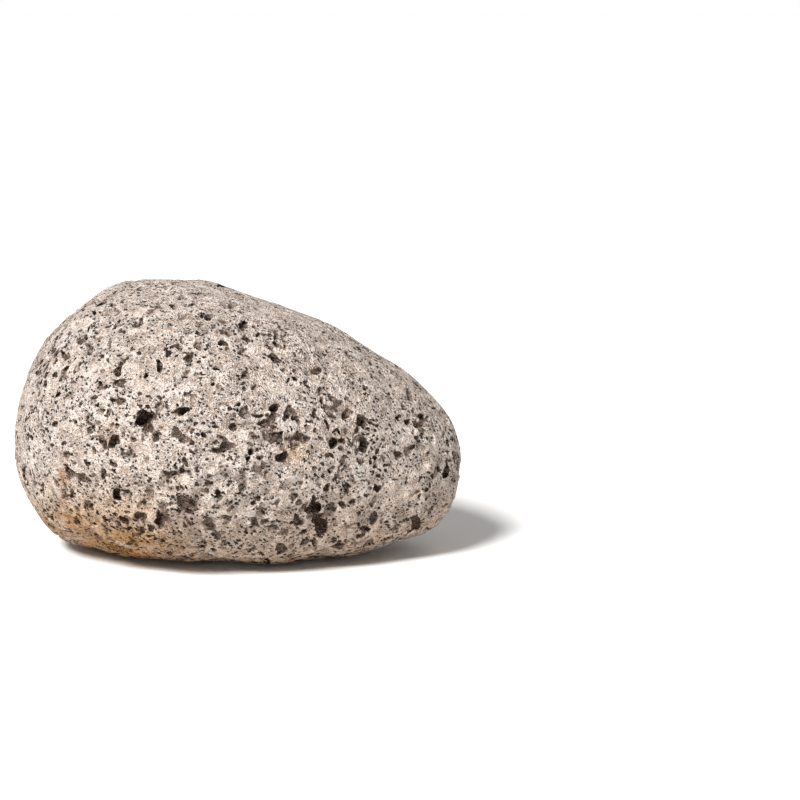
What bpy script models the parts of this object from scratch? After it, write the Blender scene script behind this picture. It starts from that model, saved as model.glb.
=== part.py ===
"""A natural pumice stone: one rounded, water-worn piece of rock foam, about 100 mm long.

The stone is modelled in metres at its real size, +Z up. It rests on a small worn flat, and its origin
is under the middle of its bounding box, on the surface that it stands on. +X runs along the stone
towards its low, narrow end, and -Y is the broad face that the hand-placed hollows belong to.

The worn skin is a stretched sphere whose height and depth follow a few driving sizes along the length.
Burst gas bubbles are then cut out of it: the large ones of the broad face where they lie on the stone,
and others of the same kind scattered over the rest.
"""

import math

import bmesh
import bpy
import numpy as np
from mathutils import Matrix, Vector
from mathutils.bvhtree import BVHTree

MM = 0.001

# Driving dimensions, in millimetres. Each row gives the value at nine equal steps along the length,
# from the blunt end at -X to the low end at +X. Heights and reaches are those of a full round, which
# narrows to the end points as a circle does.
HALF_LENGTH = 49.8
MIDDLE_HEIGHT = (23.5, 28.3, 29.5, 29.6, 28.3, 26.5, 24.4, 21.6, 18.8)
HALF_HEIGHT = (48.5, 39.8, 35.9, 32.8, 30.5, 29.3, 29.2, 29.0, 35.0)
FRONT_REACH = (43.0, 39.5, 38.5, 38.4, 37.5, 35.5, 33.0, 31.0, 30.0)
BACK_REACH = (36.0, 36.5, 37.5, 38.2, 38.5, 38.0, 36.0, 32.0, 29.0)

# How much wider the stone is below its middle than above it, and how full its shoulders are.
BELLY = 0.10
SHOULDER = 0.035
# The worn flat that the stone rests on blends into the underside over this height.
BASE_BLEND = 0.7

# Gentle swells left by the wear: (height, wavelength) in millimetres.
SWELLS = ((0.40, 52.0), (0.35, 38.0), (0.30, 30.0), (0.20, 21.0), (0.16, 16.0), (0.12, 13.0))
SWELL_SEED = 11

# The skin's cells along each edge of the cube that is blown up to a sphere.
SKIN_CELLS = 12

# Where the broad face is seen from: the sight line's slope, the point above the floor that it aims
# at, and the eye's distance from that point.
SIGHT_ELEVATION = math.radians(10.0)
SIGHT_AIM = (36.6, 33.6)
SIGHT_DISTANCE = 510.0
# Its hollows are measured on a plane square to that line, a little in front of the stone's middle.
# The line passes through that plane here, measured like the hollows.
PLANE_DISTANCE = 496.0
PLANE_AIM = (36.05, 36.6)

# Large burst bubbles of the broad face, in millimetres on that plane:
# (across from the middle, up from the lowest outline, long size, short size, tilt in degrees, depth).
FACE_BUBBLES = (
    # upper left
    (-27.1, 43.3, 2.3, 2.2, 0, 1.7), (-26.2, 44.9, 1.9, 1.3, 60, 1.2), (-26.4, 40.8, 2.4, 1.5, 10, 1.7),
    (-26.5, 37.0, 2.0, 1.5, 0, 1.6), (-20.5, 42.7, 1.9, 1.3, 50, 1.9), (-17.5, 43.8, 1.8, 1.4, -50, 1.5),
    (-22.1, 54.1, 2.7, 1.1, 65, 1.6), (-33.6, 47.4, 1.5, 1.2, 20, 0.8), (-36.3, 43.6, 2.0, 1.5, 70, 0.9),
    (-39.0, 42.5, 2.0, 1.7, 80, 1.0), (-38.8, 47.0, 2.3, 1.1, -50, 1.1), (-30.2, 58.2, 2.1, 1.0, 15, 1.2),
    (-27.7, 57.4, 2.1, 1.1, -30, 0.9), (-36.7, 34.2, 3.4, 1.2, 54, 1.1), (-29.2, 49.6, 1.4, 0.9, -30, 1.0),
    # upper middle
    (-12.6, 33.7, 3.2, 2.2, -5, 2.4), (-13.5, 48.3, 2.4, 2.0, -35, 1.2), (-15.6, 47.2, 1.4, 1.2, 40, 1.2),
    (-11.4, 51.7, 1.6, 1.3, -40, 0.9), (-12.0, 55.4, 3.0, 1.8, 10, 0.7), (-6.4, 55.2, 2.4, 1.8, -10, 0.8),
    (-7.3, 52.2, 2.3, 1.2, -25, 0.9), (-3.9, 51.7, 1.5, 1.0, -65, 1.5), (-3.4, 48.9, 1.6, 1.0, 80, 1.5),
    (-0.8, 57.6, 2.5, 2.0, 80, 1.0), (0.4, 56.4, 2.6, 1.1, -18, 1.5), (0.0, 60.3, 2.3, 1.1, -30, 1.2),
    (1.4, 53.5, 1.7, 1.5, 60, 1.2), (3.3, 53.1, 1.8, 0.9, -12, 1.1), (7.9, 46.3, 3.3, 1.7, -30, 2.0),
    (-4.4, 43.6, 2.0, 1.0, -30, 1.5), (-2.5, 44.4, 1.5, 0.9, -25, 1.3), (1.1, 42.6, 1.8, 1.5, 60, 1.1),
    (-3.9, 39.3, 1.8, 1.5, 30, 1.1), (7.5, 35.0, 2.5, 2.4, 0, 2.2), (1.5, 33.8, 2.8, 2.3, 70, 1.6),
    # upper right
    (14.0, 37.0, 2.1, 1.6, 10, 1.0), (12.8, 40.8, 1.7, 1.0, 0, 1.2), (15.3, 40.8, 2.2, 0.9, 8, 1.0),
    (15.4, 43.3, 1.5, 1.3, 40, 1.0), (17.4, 43.6, 2.0, 1.2, -15, 1.1), (18.6, 36.5, 1.9, 1.2, -15, 1.3),
    (22.2, 36.3, 2.8, 1.4, -50, 1.3), (27.7, 32.2, 2.8, 2.6, 60, 1.7), (30.7, 32.3, 1.4, 1.0, 15, 0.9),
    (28.1, 26.7, 2.7, 2.1, -20, 1.9), (25.8, 28.2, 1.9, 1.4, 0, 1.2), (21.3, 27.0, 1.8, 1.4, -15, 1.9),
    (23.8, 47.5, 1.9, 1.0, 0, 1.0), (29.3, 44.9, 1.4, 1.0, -40, 1.1), (28.0, 39.4, 1.9, 0.9, -62, 1.2),
    (38.6, 37.5, 1.9, 1.5, -50, 1.3), (41.2, 32.9, 2.6, 1.3, -48, 1.4), (37.7, 31.9, 1.5, 1.1, 60, 1.0),
    (38.2, 25.1, 2.6, 1.6, -58, 1.4), (36.3, 24.2, 2.4, 1.0, -52, 1.4),
    # lower left
    (-21.8, 32.4, 4.2, 3.6, 60, 2.9), (-19.2, 28.0, 2.2, 1.4, -70, 1.5), (-28.2, 27.5, 2.6, 2.1, 40, 2.0),
    (-48.1, 20.3, 3.0, 1.5, 75, 1.4), (-47.1, 16.7, 1.7, 1.1, 75, 1.0), (-39.2, 19.0, 2.9, 1.2, 62, 1.0),
    (-26.9, 14.7, 2.6, 2.2, 30, 2.1), (-19.9, 15.0, 2.9, 1.8, 85, 1.3), (-24.3, 24.6, 2.6, 1.1, 15, 1.0),
    (-27.8, 21.2, 1.5, 1.1, 80, 1.0), (-22.0, 10.6, 2.9, 1.8, 15, 1.2), (-31.8, 5.6, 2.7, 1.7, -15, 1.5),
    (-17.2, 9.7, 3.0, 2.2, 45, 1.6), (-13.4, 28.8, 3.2, 1.7, -36, 2.0), (-13.0, 21.2, 2.0, 1.1, -36, 1.4),
    # lower middle
    (-3.6, 25.2, 4.2, 1.3, -5, 1.1), (-1.9, 26.8, 1.8, 1.1, 38, 1.5), (9.7, 23.9, 2.4, 2.2, 0, 2.2),
    (4.0, 20.8, 2.9, 2.6, -50, 1.0), (1.6, 16.8, 1.8, 1.5, 0, 0.9), (10.1, 17.1, 2.0, 1.6, 60, 1.3),
    (-11.7, 12.8, 3.4, 2.6, -40, 1.3), (3.6, 9.5, 2.3, 1.4, 75, 1.2), (-6.2, 7.7, 2.2, 1.6, -60, 1.2),
    (-4.2, 6.0, 1.9, 1.5, 0, 1.1), (9.5, 3.3, 2.6, 2.1, 45, 1.5), (14.8, 28.0, 2.2, 1.3, 20, 1.2),
    # lower right
    (17.0, 12.5, 3.1, 2.5, 20, 2.6), (18.1, 8.9, 3.4, 2.1, -75, 2.3), (20.0, 12.4, 2.6, 2.3, 0, 0.8),
    (23.3, 12.9, 2.0, 1.5, -55, 1.4), (23.0, 21.7, 2.1, 0.9, 62, 1.2), (32.8, 21.8, 1.8, 0.9, 5, 1.2),
    (35.4, 20.9, 1.7, 0.8, -20, 1.1), (31.2, 17.0, 2.4, 1.3, -60, 1.2), (30.2, 9.9, 2.0, 1.3, 50, 1.4),
    (39.7, 8.9, 2.5, 1.9, 50, 1.7), (22.1, 3.4, 2.3, 1.2, 0, 1.4), (28.2, 4.0, 2.6, 0.9, 22, 0.9),
    (46.6, 20.4, 2.3, 1.1, 62, 1.3),
)

# Bubbles scattered over the sides, back, top and underside: how many there are, the range of their
# lengths, and the power by which they grow rarer with length.
SCATTER_SEED = 5
SCATTER_COUNT = 105
SCATTER_LONG = (1.8, 4.0)
SCATTER_FALL = 2.2
# Their short size and their depth, as shares of their length.
SCATTER_SHORT = (0.6, 1.0)
SCATTER_DEEP = (0.45, 0.75)
# They start where the skin faces the sight line of the broad face by less than this cosine.
SCATTER_FACING = 0.12
# Share of a bubble's depth that its middle lies under the skin, so that its mouth is narrower than it.
MOUTH_SINK = 0.3
# Facets round and down the sphere that cuts a bubble: (least length of bubble, round, down).
FACETS = ((3.0, 9, 5), (2.4, 6, 4), (0.0, 6, 3))
# Room left round the middle of the worn flat, and between a scattered bubble and the next.
BASE_CLEAR = 6.0
BUBBLE_GAP = 1.2
# How far a bubble is pulled out of round, as a share of its size.
LOPSIDED = 0.22

STONE_COLOUR = (0.50, 0.43, 0.38, 1.0)
STONE_ROUGHNESS = 0.95


def clear_scene():
    for obj in list(bpy.data.objects):
        bpy.data.objects.remove(obj, do_unlink=True)


def along(row, t):
    """The row's value at t, from -1 to 1 along the stone, on a smooth curve through all its steps."""
    ends = 2 * row[0] - row[1], 2 * row[-1] - row[-2]
    padded = np.array([ends[0], *row, ends[1]])
    place = (np.asarray(t) + 1) / 2 * (len(row) - 1)
    step = np.clip(np.floor(place).astype(int), 0, len(row) - 2)
    f = place - step
    before, start, end, after = (padded[step + k] for k in range(4))
    slope = (end - before) * f
    bend = (2 * before - 5 * start + 4 * end - after) * f**2
    turn = (3 * start - 3 * end + after - before) * f**3
    return start + 0.5 * (slope + bend + turn)


def swell(points):
    """Height of the low swells at these points, a sum of plane waves in seeded directions."""
    rng = np.random.default_rng(SWELL_SEED)
    height = np.zeros(len(points))
    for amount, wavelength in SWELLS:
        way = rng.normal(size=3)
        way *= 2 * math.pi / wavelength / np.linalg.norm(way)
        height += amount * np.sin(points @ way + rng.uniform(0, 2 * math.pi))
    return height


def skin(directions):
    """Points of the worn skin, in millimetres, for directions from the stone's middle."""
    dx, dy, dz = directions.T
    round_off = 1 + SHOULDER * 4 * dy**2 * dz**2 / np.maximum(1 - dx**2, 1e-6)
    reach = np.where(dy < 0, along(FRONT_REACH, dx), along(BACK_REACH, dx))
    points = np.column_stack(
        [
            HALF_LENGTH * dx,
            reach * dy * round_off * (1 - BELLY * dz),
            along(MIDDLE_HEIGHT, dx) + along(HALF_HEIGHT, dx) * dz * round_off,
        ]
    )
    points += directions * swell(points)[:, None]
    points[:, 2] = rest_on_floor(points[:, 2])
    return points


def rest_on_floor(height):
    """Heights with all that would reach below the floor worn flat, and a soft edge round the flat."""
    blend = (height + BASE_BLEND) ** 2 / (4 * BASE_BLEND)
    return np.where(height > BASE_BLEND, height, np.where(height < -BASE_BLEND, 0.0, blend))


def make_skin():
    """The skin's mesh: a cube cut into cells, blown up to a sphere and stretched to the stone."""
    bm = bmesh.new()
    bmesh.ops.create_cube(bm, size=2.0)
    bmesh.ops.subdivide_edges(bm, edges=bm.edges, cuts=SKIN_CELLS - 1, use_grid_fill=True)
    # Equal angles between the cells keep them alike in size all over the sphere.
    corners = np.tan(np.array([v.co for v in bm.verts]) * math.pi / 4)
    directions = corners / np.linalg.norm(corners, axis=1)[:, None]
    for vert, point in zip(bm.verts, skin(directions) * MM):
        vert.co = point
    bmesh.ops.triangulate(bm, faces=bm.faces)
    bmesh.ops.recalc_face_normals(bm, faces=bm.faces)
    mesh = bpy.data.meshes.new("pumice_stone")
    bm.to_mesh(mesh)
    bm.free()
    mesh.shade_smooth()
    return mesh


def sight():
    """The eye's place and the look and up directions of the broad face's sight line."""
    look = Vector((0, math.cos(SIGHT_ELEVATION), -math.sin(SIGHT_ELEVATION)))
    up = Vector((0, math.sin(SIGHT_ELEVATION), math.cos(SIGHT_ELEVATION)))
    aim = Vector((SIGHT_AIM[0], 0, 0)) + up * SIGHT_AIM[1]
    return aim - look * SIGHT_DISTANCE, look, up


def face_places(tree):
    """(point, normal, long axis, long, short, depth) of each hollow of the broad face."""
    eye, look, up = sight()
    for across, height, long, short, tilt, depth in FACE_BUBBLES:
        sideways = Vector((across - PLANE_AIM[0], 0, 0)) + up * (height - PLANE_AIM[1])
        point, normal, _, _ = tree.ray_cast(eye * MM, look * PLANE_DISTANCE + sideways)
        angle = math.radians(tilt)
        axis = Vector((math.cos(angle), 0, 0)) + up * math.sin(angle)
        yield point, normal, axis, long, short, depth


def power_law(rng, low, high, fall):
    """A random size from low to high, the rarer the larger it is."""
    return rng.uniform(high**-fall, low**-fall) ** (-1 / fall)


def scattered_places(tree, taken):
    """The same for bubbles over the rest of the stone, each clear of those in taken, which it joins."""
    rng = np.random.default_rng(SCATTER_SEED)
    eye, _, _ = sight()
    middle = Vector((0, 0, MIDDLE_HEIGHT[len(MIDDLE_HEIGHT) // 2] * MM))
    last = len(taken) + SCATTER_COUNT
    while len(taken) < last:
        way = Vector(rng.normal(size=3)).normalized()
        axis = Vector(rng.normal(size=3))
        long = power_law(rng, *SCATTER_LONG, SCATTER_FALL)
        short = long * rng.uniform(*SCATTER_SHORT)
        depth = long * rng.uniform(*SCATTER_DEEP)
        point, normal, _, _ = tree.ray_cast(middle + way * 4 * HALF_LENGTH * MM, -way)
        facing = normal.dot((eye * MM - point).normalized())
        on_base = point.z < BASE_BLEND * MM and point.length < BASE_CLEAR * MM
        near = any((point - p).length < ((long + size) / 2 + BUBBLE_GAP) * MM for p, size in taken)
        if facing < SCATTER_FACING and not on_base and not near:
            taken.append((point, long))
            yield point, normal, axis, long, short, depth


def add_bubble(bm, rng, point, normal, axis, long, short, depth):
    """Adds one bubble's lopsided ellipsoid to bm, with its middle a little under the skin."""
    along_long = (axis - normal * axis.dot(normal)).normalized()
    along_short = normal.cross(along_long)
    sink = MOUTH_SINK * depth / (1 + MOUTH_SINK)
    # The mouth of a sunken ellipsoid is narrower than its middle, so the middle is made wider.
    widen = 1 / math.sqrt(1 - MOUTH_SINK**2)
    turn = Matrix((along_long, along_short, normal)).transposed().to_4x4()
    size = Matrix.Diagonal((long / 2 * widen * MM, short / 2 * widen * MM, (depth - sink) * MM, 1))
    pull = Matrix.Identity(4)
    pull[0][2], pull[1][2], pull[0][1] = rng.uniform(-LOPSIDED, LOPSIDED, 3)
    place = Matrix.Translation(point - normal * sink * MM) @ turn @ size @ pull
    place = place @ Matrix.Rotation(rng.uniform(0, math.pi), 4, "Z")
    _, around, down = next(row for row in FACETS if long >= row[0])
    bmesh.ops.create_uvsphere(bm, u_segments=around, v_segments=down, radius=1.0, matrix=place)


def make_foam(tree):
    """The bubbles that are cut from the skin, as one mesh."""
    rng = np.random.default_rng(SCATTER_SEED)
    face = list(face_places(tree))
    taken = [(point, long) for point, _, _, long, _, _ in face]
    bm = bmesh.new()
    for place in face + list(scattered_places(tree, taken)):
        add_bubble(bm, rng, *place)
    bmesh.ops.recalc_face_normals(bm, faces=bm.faces)
    mesh = bpy.data.meshes.new("burst_bubbles")
    bm.to_mesh(mesh)
    bm.free()
    return mesh


def stone_material():
    material = bpy.data.materials.new("worn pumice")
    material.use_nodes = True
    shader = material.node_tree.nodes["Principled BSDF"]
    shader.inputs["Base Color"].default_value = STONE_COLOUR
    shader.inputs["Roughness"].default_value = STONE_ROUGHNESS
    shader.inputs["Metallic"].default_value = 0.0
    return material


def collection(name):
    made = bpy.data.collections.new(name)
    bpy.context.scene.collection.children.link(made)
    return made


def main():
    clear_scene()
    stone = bpy.data.objects.new("pumice_stone", make_skin())
    stone.data.materials.append(stone_material())
    collection("Pumice stone").objects.link(stone)

    points = [v.co for v in stone.data.vertices]
    tree = BVHTree.FromPolygons(points, [tuple(p.vertices) for p in stone.data.polygons])
    foam = bpy.data.objects.new("burst_bubbles", make_foam(tree))
    foam.display_type = "WIRE"
    foam.hide_render = True
    collection("Cutters").objects.link(foam)

    cut = stone.modifiers.new("Burst bubbles", "BOOLEAN")
    cut.operation = "DIFFERENCE"
    cut.solver = "EXACT"
    cut.use_self = True
    cut.object = foam


main()
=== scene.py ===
import math

import bpy
import numpy as np
from bpy.props import FloatProperty, FloatVectorProperty, IntProperty, PointerProperty
from bpy.types import Operator, Panel, PropertyGroup
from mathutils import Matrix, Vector


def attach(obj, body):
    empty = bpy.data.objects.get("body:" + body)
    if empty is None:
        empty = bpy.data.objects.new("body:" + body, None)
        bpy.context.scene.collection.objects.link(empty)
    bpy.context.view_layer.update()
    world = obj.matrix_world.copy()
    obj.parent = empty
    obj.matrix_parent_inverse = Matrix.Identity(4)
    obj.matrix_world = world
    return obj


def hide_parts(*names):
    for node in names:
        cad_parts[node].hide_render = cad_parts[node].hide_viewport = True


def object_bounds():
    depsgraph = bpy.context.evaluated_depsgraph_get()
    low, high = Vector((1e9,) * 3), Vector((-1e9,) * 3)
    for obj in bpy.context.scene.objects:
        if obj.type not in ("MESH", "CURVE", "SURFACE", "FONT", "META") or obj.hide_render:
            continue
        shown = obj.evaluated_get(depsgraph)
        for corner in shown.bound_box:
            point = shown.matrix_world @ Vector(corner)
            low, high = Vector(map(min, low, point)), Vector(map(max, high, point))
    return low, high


bl_info = {
    "name": "Pumice stone",
    "version": (1, 0, 0),
    "blender": (4, 5, 0),
    "location": "3D View > Sidebar > Pumice",
    "description": "A worn pumice stone with its burst gas bubbles, and the studio that shows it",
    "category": "Add Mesh",
}

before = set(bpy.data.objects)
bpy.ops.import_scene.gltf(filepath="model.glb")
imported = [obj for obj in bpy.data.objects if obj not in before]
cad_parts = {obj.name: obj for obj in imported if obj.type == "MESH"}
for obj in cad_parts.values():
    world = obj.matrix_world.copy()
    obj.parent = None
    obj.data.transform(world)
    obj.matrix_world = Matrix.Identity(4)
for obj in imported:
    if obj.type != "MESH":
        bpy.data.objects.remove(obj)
CAD_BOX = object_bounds()

MM = 0.001
# Along the grain of the foam, and the turn that takes the x axis there.
GRAIN = (0.82, 0.15, -0.55)
GRAIN_TURN = Vector((1, 0, 0)).rotation_difference(Vector(GRAIN)).to_euler()

# The worn form at nine equal steps along the stone, in millimetres, as the solid has it.
MIDDLE_HEIGHT = (23.5, 28.3, 29.5, 29.6, 28.3, 26.5, 24.4, 21.6, 18.8)
HALF_HEIGHT = (48.5, 39.8, 35.9, 32.8, 30.5, 29.3, 29.2, 29.0, 35.0)
FRONT_REACH = (43.0, 39.5, 38.5, 38.4, 37.5, 35.5, 33.0, 31.0, 30.0)
BACK_REACH = (36.0, 36.5, 37.5, 38.2, 38.5, 38.0, 36.0, 32.0, 29.0)
# Low swells of the worn form: (height, wavelength) in millimetres.
SWELLS = ((0.40, 52.0), (0.35, 38.0), (0.30, 30.0), (0.20, 21.0), (0.16, 16.0), (0.12, 13.0))
SWELL_SEED = 11
# Noises that wear the skin in between the bubbles: (spacing in millimetres, share).
DENTS = ((3.5, 2.5), (1.8, 2.5), (1.0, 2.0))
# The same for those that pull the bubbles out of round, and for the one that roughens their walls.
WARPS = ((1.5, 1.2), (0.8, 1.0))
CRUMBS = (0.8, 3.0)
# How much of a dent counts as worn skin, rather than as the inside of a bubble.
DENT_SHARE = 0.9
# The dents end this many millimetres above the worn flat.
DENTS_FROM = 1.0

# Scattered bubbles: (shortest, longest, how fast they thin out with size), in millimetres.
SMALL_BUBBLES = (0.6, 1.5, 2.0)
LARGE_BUBBLES = (1.5, 4.0, 2.2)
# Spacing of the noise that gathers them in clumps, and the share of them that is worn wide open.
CLUMP_SPACING = 4.0
OPEN_SHARE = 0.55
# No bubble opens in the middle of the worn flat, within this radius and below this height.
FLAT_RADIUS = 6.0
FLAT_HEIGHT = 0.5

# A pale rim, partly worn and partly a painted highlight, is this wide round a mouth, and ends at this
# depth under the skin, in millimetres.
RIM_WIDTH = 0.5
RIM_DEPTH = 0.15
# The upper side is worn smoother from this height on, in full after so many millimetres more.
WORN_FROM = 38.0
WORN_OVER = 20.0
# Dirt and painted shade fade out up to this height, and the stains of the broad face end this far
# behind the middle.
LOW_SOIL_AND_SHADE_HEIGHT = 22.0
STAIN_END = 8.0
# Facets that meet at more than this many degrees keep a sharp edge between them.
SHARP_EDGE = 50

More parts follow.
